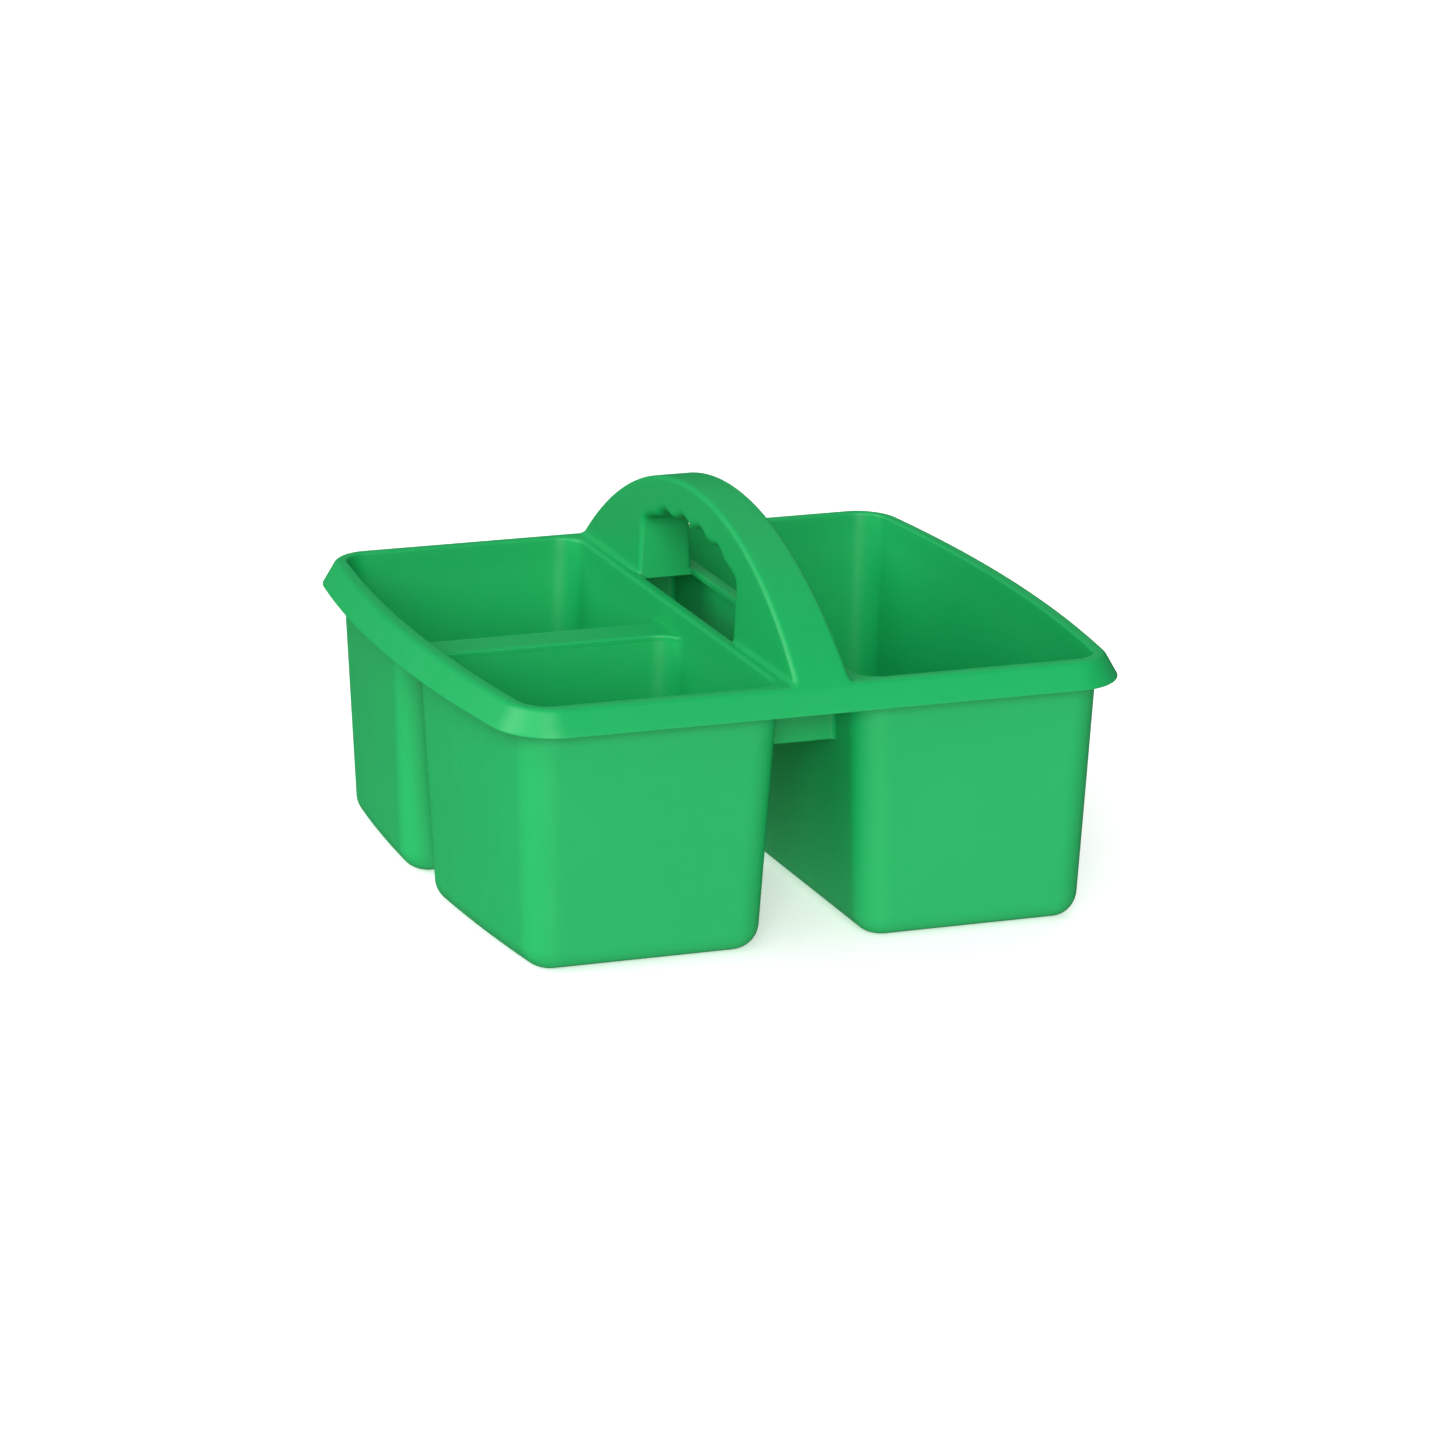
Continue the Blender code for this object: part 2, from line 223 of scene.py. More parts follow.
class Shell:
    """A closed surface under construction."""

    def __init__(self):
        self.form = bmesh.new()

    def ring(self, points):
        return [self.form.verts.new(point) for point in points]

    def skin(self, rings):
        for one, other in zip(rings, rings[1:]):
            for here in range(len(one)):
                self.form.faces.new((one[here - 1], one[here], other[here], other[here - 1]))

    def cap(self, ring):
        self.form.faces.new(ring)

    def fill(self, *rings):
        """Closes the opening that lies between these rings when seen from above."""
        edges = []
        for ring in rings:
            edges += [self.form.edges.get((ring[here - 1], ring[here])) for here in range(len(ring))]
        bmesh.ops.triangle_fill(self.form, use_beauty=True, edges=edges, normal=(0.0, 0.0, 1.0))

    def piece(self, name, *nodes):
        """Turns the surface into a piece that stands for these CAD nodes."""
        bmesh.ops.recalc_face_normals(self.form, faces=self.form.faces)
        mesh = bpy.data.meshes.new(name)
        self.form.to_mesh(mesh)
        self.form.free()
        obj = bpy.data.objects.new(name, mesh)
        bpy.context.scene.collection.objects.link(obj)
        mesh.materials.append(caddy_plastic())
        mesh.shade_smooth()
        mesh.set_sharp_from_angle(angle=SHARP_ANGLE)
        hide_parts(*nodes)
        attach(obj, "root")
        return obj


def tub_skin(shell, low, high, radius, floor, base_radius):
    """One skin of a tub, from the middle of its floor up to the belt. Returns its rings."""
    centre_z = floor + base_radius
    centre_inset = draft_inset(centre_z) + base_radius / math.cos(DRAFT)
    tangent_inset = centre_inset - base_radius * math.cos(DRAFT)
    tangent_z = centre_z - base_radius * math.sin(DRAFT)
    foot = outline(*inset_box(low, high, tangent_inset), radius)
    rings = [shell.ring(lifted(foot, tangent_inset - centre_inset - FLOOR_MARGIN, floor))]
    for angle in spread(math.pi / 2, DRAFT, 2 * ARC_STEPS):
        inset = centre_inset - base_radius * math.cos(angle)
        z = centre_z - base_radius * math.sin(angle)
        rings.append(shell.ring(lifted(foot, tangent_inset - inset, z)))
    for z in spread(tangent_z, belt_z, WALL_STEPS)[1:]:
        wall = outline(*inset_box(low, high, draft_inset(z)), radius)
        rings.append(shell.ring(lifted(wall, 0.0, z)))
    shell.skin(rings)
    shell.cap(rings[0])
    return rings


def make_tub(name, node, low, high):
    shell = Shell()
    outer = tub_skin(shell, low, high, SKIN_RADIUS, 0.0, BASE_RADIUS)
    inner = tub_skin(shell, *inset_box(low, high, WALL), INNER_RADIUS, WALL, BASE_RADIUS - WALL)
    shell.skin([outer[-1], inner[-1]])
    return shell.piece(name, node)


def rim_section():
    """The rim outside its crest, as (offset from the crest line, height) pairs, from the top to the belt."""
    centre = Vector((CREST_ROLL_OUT, crest_z - CREST_ROUNDING))
    roll = [centre + CREST_ROUNDING * Vector((math.sin(angle), math.cos(angle)))
            for angle in spread(0.0, SKIRT_SLOPE, ARC_STEPS)]
    under_radius = CREST_ROUNDING - WALL
    under = [centre + under_radius * Vector((math.sin(angle), math.cos(angle)))
             for angle in spread(SKIRT_SLOPE, -math.pi / 2, ARC_STEPS)]
    fall = Vector((math.cos(SKIRT_SLOPE), -math.sin(SKIRT_SLOPE)))
    tip_z = crest_z - SKIRT_DROP
    outer_tip = roll[-1] + fall * (roll[-1].y - tip_z) / -fall.y
    inner_tip = under[0] + fall * (under[0].y - tip_z) / -fall.y
    skirt = [roll[-1].lerp(outer_tip, share) for share in (0.3, 0.6)]
    tip = round_corner(roll[-1], outer_tip, inner_tip, SKIRT_TIP_ROUNDING, 6)
    tip += round_corner(outer_tip, inner_tip, under[0], SKIRT_TIP_ROUNDING, 4)
    return roll + skirt + tip + under


def make_opening(shell, low, high, deck_side):
    """The inside of one opening from the belt to the crest; its edge is tighter along the deck."""
    rings = []
    for z in (belt_z, (belt_z + crest_z) / 2):
        wall = outline(*inset_box(low, high, draft_inset(z)), INNER_RADIUS)
        rings.append(shell.ring(lifted(wall, 0.0, z)))
    mouth = outline(low, high, INNER_RADIUS)
    arc = mouth_arc(1.0)

    def rounding(normal):
        return RIM_EDGE + (LEDGE_EDGE - RIM_EDGE) * smooth(normal.x * deck_side)

    for out, drop in arc:
        points = lifted(mouth, lambda n: out * rounding(n), lambda n: crest_z - drop * rounding(n))
        rings.append(shell.ring(points))
    shell.skin(rings)
    return rings


def make_rim():
    """The belt, crest and skirt, with both ends of the deck."""
    shell = Shell()
    crest = outline(-crest_half, crest_half, CREST_CORNER_RADIUS)
    outside = [shell.ring(lifted(crest, point.x, point.y)) for point in rim_section()]
    belt = outline(*inset_box(-skin_half, skin_half, draft_inset(belt_z)), SKIN_RADIUS)
    outside.append(shell.ring(lifted(belt, 0.0, belt_z)))
    shell.skin(outside)
    inner_low, inner_high = inset_box(-skin_half, skin_half, WALL)
    left = make_opening(shell, inner_low, Vector((channel_left - WALL, inner_high.y)), 1)
    right = make_opening(shell, Vector((channel_right + WALL, inner_low.y)), inner_high, -1)
    pocket = []
    for z in (belt_z, deck_z):
        inset = draft_inset(z)
        low = Vector((channel_left - inset, inner_low.y + inset))
        high = Vector((channel_right + inset, inner_high.y - inset))
        pocket.append(shell.ring(lifted(outline(low, high, POCKET_RADIUS), 0.0, z)))
    shell.skin(pocket)
    shell.cap(pocket[-1])
    shell.fill(outside[0], left[-1], right[-1])
    shell.fill(outside[-1], left[0], right[0], pocket[0])
    form = shell.form
    for side in (-1, 1):
        bmesh.ops.bisect_plane(form, geom=form.verts[:] + form.edges[:] + form.faces[:], dist=1e-7,
                               plane_co=(0.0, side * LEDGE_END, 0.0), plane_no=(0.0, 1.0, 0.0))
    middle = []
    for face in form.faces:
        centre = face.calc_center_median()
        if abs(centre.x) < BOW_START and abs(centre.y) < LEDGE_END:
            middle.append(face)
    bmesh.ops.delete(form, geom=middle, context="FACES")
    bmesh.ops.holes_fill(form, edges=[edge for edge in form.edges if edge.is_boundary], sides=0)
    return shell.piece("rim", "rim_skirt")


def make_ledge(name, node, side, channel):
    """The deck beside the handle and the top of the bin's wall: one section carried along Y."""
    channel = abs(channel)
    arc = mouth_arc(LEDGE_EDGE)
    section = [Vector((channel + WALL + draft_inset(z), z)) for z in (belt_z, (belt_z + crest_z) / 2)]
    section += [Vector((channel + WALL - out, crest_z - drop)) for out, drop in arc]
    slot = Vector((handle_half_width, crest_z))
    section += round_corner(section[-1], slot, Vector((slot.x, deck_z)), SLOT_EDGE)
    section.append(Vector((slot.x, deck_z)))
    section.append(Vector((channel + draft_inset(deck_z), deck_z)))
    section.append(Vector((channel + draft_inset(belt_z), belt_z)))
    shell = Shell()
    rings = []
    for y in spread(-LEDGE_END, LEDGE_END, LEDGE_STEPS):
        rings.append(shell.ring([Vector((side * point.x, y, point.y)) for point in section]))
    shell.skin(rings)
    shell.cap(rings[0])
    shell.cap(rings[-1])
    return shell.piece(name, node)


def rise(distance, radius):
    """Height of a concave fillet at a distance from the wall that it climbs."""
    if distance >= radius:
        return 0.0
    return radius - math.sqrt(max(0.0, radius**2 - (radius - max(0.0, distance)) ** 2))


def make_bridge():
    """The low strip between the left bins, flared at its ends along the bins' corners."""
    inset = draft_inset(bridge_top)
    left = -skin_half.x + WALL + inset
    right = channel_left - WALL - inset
    stations = [(left - BRIDGE_BURIED, 0.0)]
    for angle in spread(0.0, math.pi / 2, CORNER_STEPS):
        stations.append((left + INNER_RADIUS * (1.0 - math.cos(angle)), angle))
    straight = spread(left + INNER_RADIUS, right - INNER_RADIUS, BRIDGE_STEPS)[1:-1]
    stations += [(x, math.pi / 2) for x in straight]
    for angle in spread(math.pi / 2, 0.0, CORNER_STEPS):
        stations.append((right - INNER_RADIUS * (1.0 - math.cos(angle)), math.pi - angle))
    stations.append((right + BRIDGE_BURIED, math.pi))
    arc = [(BRIDGE_EDGE * (1.0 - math.cos(angle)), BRIDGE_EDGE * (1.0 - math.sin(angle)))
           for angle in spread(0.0, math.pi / 2, ARC_STEPS)]
    shell = Shell()
    rings = []
    for x, angle in stations:
        normal = Vector((math.cos(angle), math.sin(angle)))
        flare = INNER_RADIUS * (1.0 - math.sin(angle))
        lift = rise(min(x - left, right - x), BRIDGE_FILLET)
        edges = []
        for side, y in ((-1, bridge_front), (1, bridge_rear)):
            edge = [(Vector((x, y + side * (flare - draft_inset(belt_z) + inset))), belt_z)]
            for out, drop in arc:
                point = Vector((x - normal.x * out, y + side * (flare - normal.y * out)))
                edge.append((point, bridge_top - drop + lift))
            edges.append(edge)
        front, rear = edges
        top = [(front[-1][0].lerp(rear[-1][0], share), front[-1][1]) for share in (0.1, 0.5, 0.9)]
        section = front + top + rear[::-1]
        rings.append(shell.ring([Vector((bowed(point.x, point.y), point.y, z)) for point, z in section]))
    shell.skin(rings)
    shell.cap(rings[0])
    shell.cap(rings[-1])
    return shell.piece("divider_bridge", "bin_bridge")


def make_brace(name, node, side):
    """A wall across the channel. In plan its ends spread into the bins' walls with small fillets."""
    face = -brace_low.y
    back = -brace_high.y
    shell = Shell()
    rings = []
    heights = []
    for angle in spread(0.0, math.pi / 2, BRACE_EDGE_STEPS):
        heights.append(brace_low.z + BRACE_EDGE * (1.0 - math.cos(angle)))
    for z in heights + spread(heights[-1], deck_z, BRACE_STEPS)[1:]:
        pinch = BRACE_EDGE - math.sqrt(max(0.0, BRACE_EDGE**2 - max(0.0, heights[-1] - z) ** 2))
        left = channel_left - draft_inset(z)
        right = channel_right + draft_inset(z)
        ring = []
        corners = ((back + pinch, -1), (face - pinch, 1))
        for wall, turn in ((left, 1), (right, -1)):
            for y, out in corners[::turn]:
                arc = []
                for angle in spread(0.0, math.pi / 2, BRACE_FILLET_STEPS):
                    along = BRACE_FILLET * (1.0 - math.cos(angle))
                    beyond = out * BRACE_FILLET * (1.0 - math.sin(angle))
                    arc.append(Vector((wall + turn * along, side * (y + beyond), z)))
                tangent_first = (turn > 0) == (out < 0)
                ring += arc[::-1] if tangent_first else arc
        rings.append(shell.ring(ring))
    shell.skin(rings)
    shell.cap(rings[0])
    shell.cap(rings[-1])
    return shell.piece(name, node)


# ---------------------------------------------------------------- handle

def arch_circle():
    """Centre height and radius of the arch, which comes down to touch the crest's rounding."""
    centre = Vector((crest_half.y + CREST_ROLL_OUT, crest_z - CREST_ROUNDING))
    rise_above = handle_top - centre.y
    radius = (centre.x**2 + rise_above**2 - CREST_ROUNDING**2) / (2 * (rise_above - CREST_ROUNDING))
    return handle_top - radius, radius


arch_centre_z, arch_radius = arch_circle()


def touch_height():
    """Height at which the arch meets the crest's rounding with no crease."""
    across = crest_half.y + CREST_ROLL_OUT
    up = crest_z - CREST_ROUNDING - arch_centre_z
    return crest_z - CREST_ROUNDING + CREST_ROUNDING * up / math.hypot(across, up)


touch_z = touch_height()
sole_z = touch_z - SOLE_DEPTH


def deck_line(y):
    """Height of the rim and deck under the handle's foot."""
    past = abs(y) - (crest_half.y + CREST_ROLL_OUT)
    if past <= 0.0:
        return crest_z
    return crest_z - CREST_ROUNDING + math.sqrt(max(0.0, CREST_ROUNDING**2 - past**2))


def half_width(z):
    return handle_half_width - HANDLE_DRAFT * (z - crest_z)


def foot_flare(z, y):
    """How far the handle's sides spread just above the deck; less beside the window."""
    beside = smooth((abs(y) - window_half - WINDOW_EDGE) / (3 * FOOT_FILLET))
    radius = SLOT_FILLET + (FOOT_FILLET - SLOT_FILLET) * beside
    return rise(z - deck_line(y), radius)


def grip_line(y):
    """Radius of the grip's underside about the arch's centre, with a groove for each of four fingers."""
    radius = arch_radius - GRIP_DEPTH - GROOVE_DEPTH / 2
    if abs(y) < GROOVED_HALF:
        radius += GROOVE_DEPTH * (1.0 - math.cos(2 * math.pi * y / GROOVE_PITCH)) / 2
    return radius


def window_fillet():
    """Centre of the window's top corner in (y, z), and the angle at which it meets the underside."""
    under = arch_radius - GRIP_DEPTH - GROOVE_DEPTH / 2
    y = window_half - WINDOW_FILLET
    z = arch_centre_z + math.sqrt((under - WINDOW_FILLET) ** 2 - y**2)
    return Vector((y, z)), math.atan2(z - arch_centre_z, y)


def arch_point(angle, radius):
    return Vector((radius * math.cos(angle), arch_centre_z + radius * math.sin(angle)))


def handle_stations():
    """One half of the handle, from its top down to its foot.

    Each station pairs a point and normal of the arch's outside with a point and normal of the window's edge,
    and gives the window edge's rounding.
    """
    corner, meeting = window_fillet()
    stations = []
    for angle in spread(math.pi / 2, meeting, GRIP_STEPS):
        outer = arch_point(angle, arch_radius)
        direction = Vector((math.cos(angle), math.sin(angle)))
        inner = arch_point(angle, grip_line(arch_radius * math.cos(angle)))
        higher = angle + GROOVE_NUDGE
        lower = angle - GROOVE_NUDGE
        before = arch_point(higher, grip_line(arch_radius * math.cos(higher)))
        after = arch_point(lower, grip_line(arch_radius * math.cos(lower)))
        tangent = (after - before).normalized()
        stations.append((outer, direction, inner, Vector((-tangent.y, tangent.x)), GRIP_EDGE))
    for share in spread(0.0, 1.0, CORNER_TURN_STEPS)[1:]:
        turn = meeting * (1.0 - share)
        normal = Vector((math.cos(turn), math.sin(turn)))
        angle = meeting - CORNER_TURN * share
        edge = GRIP_EDGE + (WINDOW_EDGE - GRIP_EDGE) * smooth(share)
        outer = arch_point(angle, arch_radius)
        direction = Vector((math.cos(angle), math.sin(angle)))
        stations.append((outer, direction, corner + WINDOW_FILLET * normal, normal, edge))
    start_angle = meeting - CORNER_TURN
    start_z = arch_point(start_angle, arch_radius).y
    knee = crest_z + FOOT_FILLET
    for share in spread(0.0, 1.0, LEG_STEPS)[1:]:
        inner_z = corner.y + (knee - corner.y) * share
        outer_z = start_z + (knee - start_z) * share
        stations.append(leg_station(inner_z, outer_z))
    for angle in spread(0.0, math.pi / 2, FOOT_STEPS)[1:]:
        share = 1.0 - math.sin(angle)
        stations.append(leg_station(crest_z + FOOT_FILLET * share, touch_z + (knee - touch_z) * share))
    return stations


def leg_station(inner_z, outer_z):
    """A station below the window's corner, where the window's end is upright."""
    angle = math.asin((outer_z - arch_centre_z) / arch_radius)
    outer = arch_point(angle, arch_radius)
    direction = Vector((math.cos(angle), math.sin(angle)))
    return outer, direction, Vector((window_half, inner_z)), Vector((1.0, 0.0)), WINDOW_EDGE


def handle_section(station, side):
    """The closed section of the handle at one station; side is -1 for the front half and 1 for the rear."""
    outer, outer_normal, inner, inner_normal, edge = station
    half = []
    flat_top = half_width(outer.y) - BAND_EDGE
    half += [(outer, share * flat_top) for share in (0.0, 0.35, 0.7)]
    for angle in spread(math.pi / 2, 0.0, ARC_STEPS):
        point = outer - outer_normal * BAND_EDGE * (1.0 - math.sin(angle))
        half.append((point, half_width(point.y) - BAND_EDGE * (1.0 - math.cos(angle))))
    upper = outer - outer_normal * BAND_EDGE
    lower = inner + inner_normal * edge
    for share in spread(0.0, 1.0, 8)[1:-1]:
        point = upper.lerp(lower, share)
        half.append((point, half_width(point.y)))
    for angle in spread(0.0, math.pi / 2, ARC_STEPS):
        point = inner + inner_normal * edge * (1.0 - math.sin(angle))
        half.append((point, half_width(point.y) - edge * (1.0 - math.cos(angle))))
    flat_under = half_width(inner.y) - edge
    half += [(inner, share * flat_under) for share in (0.7, 0.35, 0.0)]
    section = []
    for point, x in half:
        spread_x = x + foot_flare(point.y, point.x) * x / half_width(point.y)
        section.append(Vector((spread_x, side * point.x, point.y)))
    mirrored = [Vector((-point.x, point.y, point.z)) for point in section[1:-1]]
    return section + mirrored[::-1]


def make_handle():
    """The arch as one run of sections, parted halfway round the window's corners into grip and legs."""
    stations = handle_stations()
    split = GRIP_STEPS + CORNER_TURN_STEPS // 2
    shell = Shell()
    rings = [shell.ring(handle_section(station, -1)) for station in stations[split:0:-1]]
    rings += [shell.ring(handle_section(station, 1)) for station in stations[:split + 1]]
    shell.skin(rings)
    shell.cap(rings[0])
    shell.cap(rings[-1])
    shell.piece("grip", "handle_grip")
    make_leg("front_leg", "front_handle_leg", -1, stations[split:])
    make_leg("rear_leg", "rear_handle_leg", 1, stations[split:])


def make_leg(name, node, side, stations):
    """One foot of the arch, with a sole just inside the rim and a plug in the slot between the ledges."""
    shell = Shell()
    rings = [shell.ring(handle_section(station, side)) for station in stations]
    foot = [vertex.co for vertex in rings[-1]]
    rings.append(shell.ring([Vector((at.x, at.y, min(at.z - SOLE_DEPTH, sole_z))) for at in foot]))
    shell.skin(rings)
    shell.cap(rings[0])
    plug = [shell.ring(plug_outline(side, z)) for z in (sole_z, deck_z)]
    shell.skin(plug)
    shell.fill(rings[-1], plug[0])
    shell.fill(plug[1], hollow_leg(shell, side))
    shell.piece(name, node)


def plug_outline(side, z):
    """The part of a leg that fills the slot between the ledges, in plan."""
    across = handle_half_width
    near = window_half + PLUG_GAP
    corners = ((-across, near), (across, near), (across, LEDGE_END), (-across, LEDGE_END))
    return [Vector((x, side * y, z)) for x, y in corners]


def hollow_leg(shell, side):
    """The inside of a leg, which is open below. Returns the edge of its opening."""
    rows = []
    for y in spread(window_half + WALL, LEDGE_END - WALL, HOLLOW_STEPS):
        top = arch_centre_z + math.sqrt((arch_radius - WALL) ** 2 - y**2)
        low_x = half_width(deck_z) - WALL
        high_x = half_width(top) - WALL
        corners = ((-low_x, deck_z), (-high_x, top), (high_x, top), (low_x, deck_z))
        rows.append(shell.ring([Vector((x, side * y, z)) for x, z in corners]))
    for one, other in zip(rows, rows[1:]):
        for here in range(3):
            shell.form.faces.new((one[here], one[here + 1], other[here + 1], other[here]))
    shell.cap(rows[0])
    shell.cap(rows[-1])
    return [row[0] for row in rows] + [row[3] for row in reversed(rows)]


# ---------------------------------------------------------------- material

DEEP_GREEN = (0.0050, 0.385, 0.097, 1.0)
LIGHT_GREEN = (0.0055, 0.400, 0.102, 1.0)
# Paler green for the convex edges: partly wear, partly a painted highlight along the rims.
WORN_AND_HIGHLIGHT_GREEN = (0.04, 0.50, 0.17, 1.0)
MOST_WORN_AND_HIGHLIGHT = 0.12
ROUGHNESS_RANGE = (0.42, 0.50)
GRAIN_DEPTH = 0.05 * MM


def caddy_plastic():
    """Satin green polypropylene: faint colour drift, fine moulded grain, uneven gloss and paler convex edges,
    partly wear and partly a painted highlight.
    """
    known = bpy.data.materials.get("green_polypropylene")
    if known:
        return known
    material = bpy.data.materials.new("green_polypropylene")
    material.use_nodes = True
    nodes = material.node_tree.nodes
    links = material.node_tree.links
    shader = nodes["Principled BSDF"]
    place = nodes.new("ShaderNodeTexCoord").outputs["Object"]

    def noise(scale, detail, roughness):
        node = nodes.new("ShaderNodeTexNoise")
        node.inputs["Scale"].default_value = scale
        node.inputs["Detail"].default_value = detail
        node.inputs["Roughness"].default_value = roughness
        links.new(place, node.inputs["Vector"])
        return node.outputs["Fac"]

    def rescale(value, low, high, to_low, to_high):
        node = nodes.new("ShaderNodeMapRange")
        node.inputs["From Min"].default_value = low
        node.inputs["From Max"].default_value = high
        node.inputs["To Min"].default_value = to_low
        node.inputs["To Max"].default_value = to_high
        links.new(value, node.inputs["Value"])
        return node.outputs["Result"]

    def mix(factor, first, second):
        node = nodes.new("ShaderNodeMix")
        node.data_type = "RGBA"
        links.new(factor, node.inputs["Factor"])
        for socket, value in ((6, first), (7, second)):
            if isinstance(value, tuple):
                node.inputs[socket].default_value = value
            else:
                links.new(value, node.inputs[socket])
        return node.outputs[2]

    drift = rescale(noise(9.0, 3.0, 0.5), 0.35, 0.65, 0.0, 1.0)
    body = mix(drift, DEEP_GREEN, LIGHT_GREEN)
    pointiness = nodes.new("ShaderNodeNewGeometry").outputs["Pointiness"]
    # Convex edges are painted paler: partly wear, partly a painted highlight along the rims.
    worn_and_highlight = rescale(pointiness, 0.53, 0.62, 0.0, MOST_WORN_AND_HIGHLIGHT)
    colour = mix(worn_and_highlight, body, WORN_AND_HIGHLIGHT_GREEN)
    links.new(colour, shader.inputs["Base Color"])
    gloss = rescale(noise(160.0, 4.0, 0.6), 0.3, 0.7, *ROUGHNESS_RANGE)
    links.new(gloss, shader.inputs["Roughness"])
    shader.inputs["Specular IOR Level"].default_value = 0.4
    grain = nodes.new("ShaderNodeBump")
    grain.inputs["Strength"].default_value = 0.10
    grain.inputs["Distance"].default_value = GRAIN_DEPTH
    links.new(noise(2600.0, 3.0, 0.6), grain.inputs["Height"])
    links.new(grain.outputs["Normal"], shader.inputs["Normal"])
    return material


# ---------------------------------------------------------------- stage

# Soft studio lights as (name, azimuth, elevation, strength, angular width); angles in degrees.
SOFT_LIGHTS = (
    ("front_softbox", -20.0, 20.0, 0.75, 30.0),
    ("left_softbox", -105.0, 30.0, 0.52, 40.0),
    ("high_softbox", -45.0, 55.0, 0.22, 40.0),
    ("back_softbox", 150.0, 35.0, 0.35, 50.0),
)

# The lit table and the room: light from below, light from above, what a gloss reflects, and the floor's glow.
TABLE_LIGHT = 1.08
ROOM_LIGHT = 0.11
ROOM_GLOSS = 0.05
TABLE_GLOW = 0.45

FLOOR_HALF = 12.0
FLOOR_DROP = 0.2 * MM

# The camera: a long lens from the front left, a little above the rim. Angles in degrees.
CAMERA_AZIMUTH = -20.55
CAMERA_ELEVATION = 16.25
CAMERA_ROLL = 0.65
CAMERA_DISTANCE = 2.3876
SENSOR_WIDTH = 36.0
FOCAL_LENGTH = 170.55
SHIFT_X = 0.00686
SHIFT_Y = 0.0101


def studio_world():
    """White all round to the camera; it lights the object mostly from below, as a lit white table does."""
    world = bpy.data.worlds.new("studio")
    world.use_nodes = True
    nodes = world.node_tree.nodes
    links = world.node_tree.links
    rays = nodes.new("ShaderNodeLightPath").outputs
    height = nodes.new("ShaderNodeSeparateXYZ")
    links.new(nodes.new("ShaderNodeTexCoord").outputs["Generated"], height.inputs["Vector"])
    below = nodes.new("ShaderNodeMath")
    below.operation = "LESS_THAN"
    below.inputs[1].default_value = 0.0
    links.new(height.outputs["Z"], below.inputs[0])

    def choose(factor, otherwise, chosen):
        node = nodes.new("ShaderNodeMix")
        links.new(factor, node.inputs["Factor"])
        for socket, value in (("A", otherwise), ("B", chosen)):
            if isinstance(value, float):
                node.inputs[socket].default_value = value
            else:
                links.new(value, node.inputs[socket])
        return node.outputs["Result"]

    light = choose(below.outputs["Value"], ROOM_LIGHT, TABLE_LIGHT)
    light = choose(rays["Is Glossy Ray"], light, ROOM_GLOSS)
    light = choose(rays["Is Camera Ray"], light, 1.0)
    background = nodes["Background"]
    background.inputs["Color"].default_value = (1.0, 1.0, 1.0, 1.0)
    links.new(light, background.inputs["Strength"])
    return world


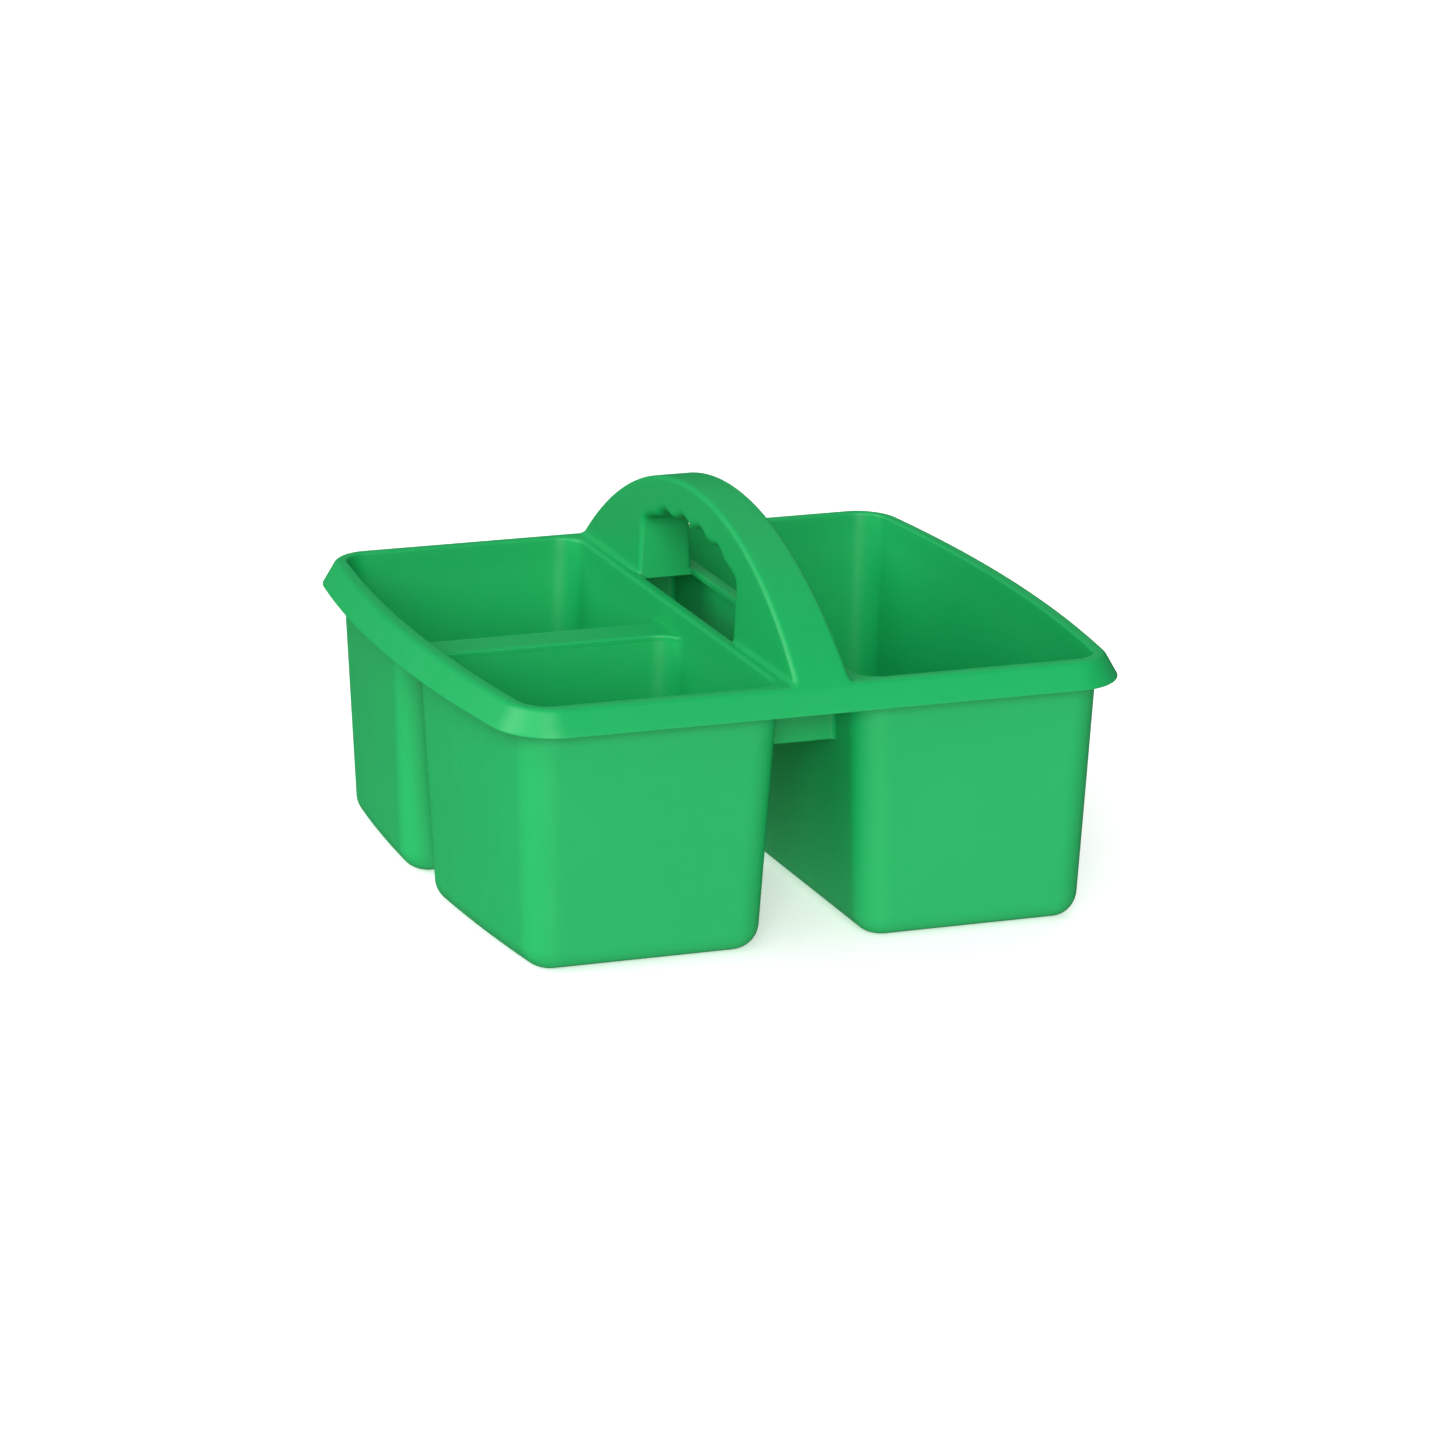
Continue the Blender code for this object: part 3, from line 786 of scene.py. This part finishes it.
def make_stage():
    """A wide pale floor under soft lights."""
    floor_mesh = bpy.data.meshes.new("floor")
    form = bmesh.new()
    bmesh.ops.create_grid(form, x_segments=8, y_segments=8, size=FLOOR_HALF)
    form.to_mesh(floor_mesh)
    form.free()
    floor = bpy.data.objects.new("floor", floor_mesh)
    floor.location.z = -FLOOR_DROP
    bpy.context.scene.collection.objects.link(floor)
    pale = bpy.data.materials.new("pale_floor")
    pale.use_nodes = True
    shader = pale.node_tree.nodes["Principled BSDF"]
    shader.inputs["Base Color"].default_value = (0.93, 0.93, 0.93, 1.0)
    shader.inputs["Roughness"].default_value = 0.8
    shader.inputs["Specular IOR Level"].default_value = 0.1
    shader.inputs["Emission Color"].default_value = (1.0, 1.0, 1.0, 1.0)
    shader.inputs["Emission Strength"].default_value = TABLE_GLOW
    pale.cycles.emission_sampling = "NONE"
    floor_mesh.materials.append(pale)

    # Bounced light passes through the floor, so that the world below lights the object.
    floor.visible_diffuse = False
    floor.visible_glossy = False
    bpy.context.scene.world = studio_world()

    for name, azimuth, elevation, strength, width in SOFT_LIGHTS:
        light = bpy.data.lights.new(name, "SUN")
        light.energy = strength * math.pi
        light.angle = math.radians(width)
        lamp = bpy.data.objects.new(name, light)
        lamp.rotation_euler = facing(azimuth, elevation).to_track_quat("Z", "Y").to_euler()
        lamp.visible_glossy = name != "back_softbox"
        bpy.context.scene.collection.objects.link(lamp)


def facing(azimuth, elevation):
    """Unit vector towards a light or camera; azimuth is measured from the front, positive to the right."""
    azimuth = math.radians(azimuth)
    elevation = math.radians(elevation)
    return Vector((math.sin(azimuth) * math.cos(elevation),
                   -math.cos(azimuth) * math.cos(elevation),
                   math.sin(elevation)))


def make_camera():
    roll = math.radians(CAMERA_ROLL)
    towards = facing(CAMERA_AZIMUTH, CAMERA_ELEVATION)
    right = (-towards).cross(Vector((0.0, 0.0, 1.0))).normalized()
    up = towards.cross(right)
    turned_right = right * math.cos(roll) + up * math.sin(roll)
    turned_up = up * math.cos(roll) - right * math.sin(roll)
    camera = bpy.data.cameras.new("camera")
    camera.sensor_width = SENSOR_WIDTH
    camera.lens = FOCAL_LENGTH
    camera.shift_x = SHIFT_X
    camera.shift_y = SHIFT_Y
    camera.clip_end = 50.0
    viewer = bpy.data.objects.new("camera", camera)
    place = Matrix.Translation(Vector((0.0, 0.0, crest_z / 2)) + towards * CAMERA_DISTANCE)
    viewer.matrix_world = place @ Matrix((turned_right, turned_up, towards)).transposed().to_4x4()
    bpy.context.scene.collection.objects.link(viewer)
    bpy.context.scene.camera = viewer


# ---------------------------------------------------------------- the object

skin_low = -skin_half
skin_high = skin_half
front_left_end = Vector((channel_left, bridge_front + WALL))
rear_left_start = Vector((skin_low.x, bridge_rear - WALL))
make_tub("front_left_tub", "front_left_bin", skin_low, front_left_end)
make_tub("rear_left_tub", "rear_left_bin", rear_left_start, Vector((channel_left, skin_high.y)))
make_tub("right_tub", "right_bin", Vector((channel_right, skin_low.y)), skin_high)
make_rim()
make_ledge("left_ledge", "left_handle_ledge", -1, channel_left)
make_ledge("right_ledge", "right_handle_ledge", 1, channel_right)
make_bridge()
make_brace("front_brace", "front_channel_panel", -1)
make_brace("rear_brace", "rear_channel_panel", 1)
make_handle()
make_stage()
make_camera()
bpy.context.scene.view_settings.view_transform = "Standard"
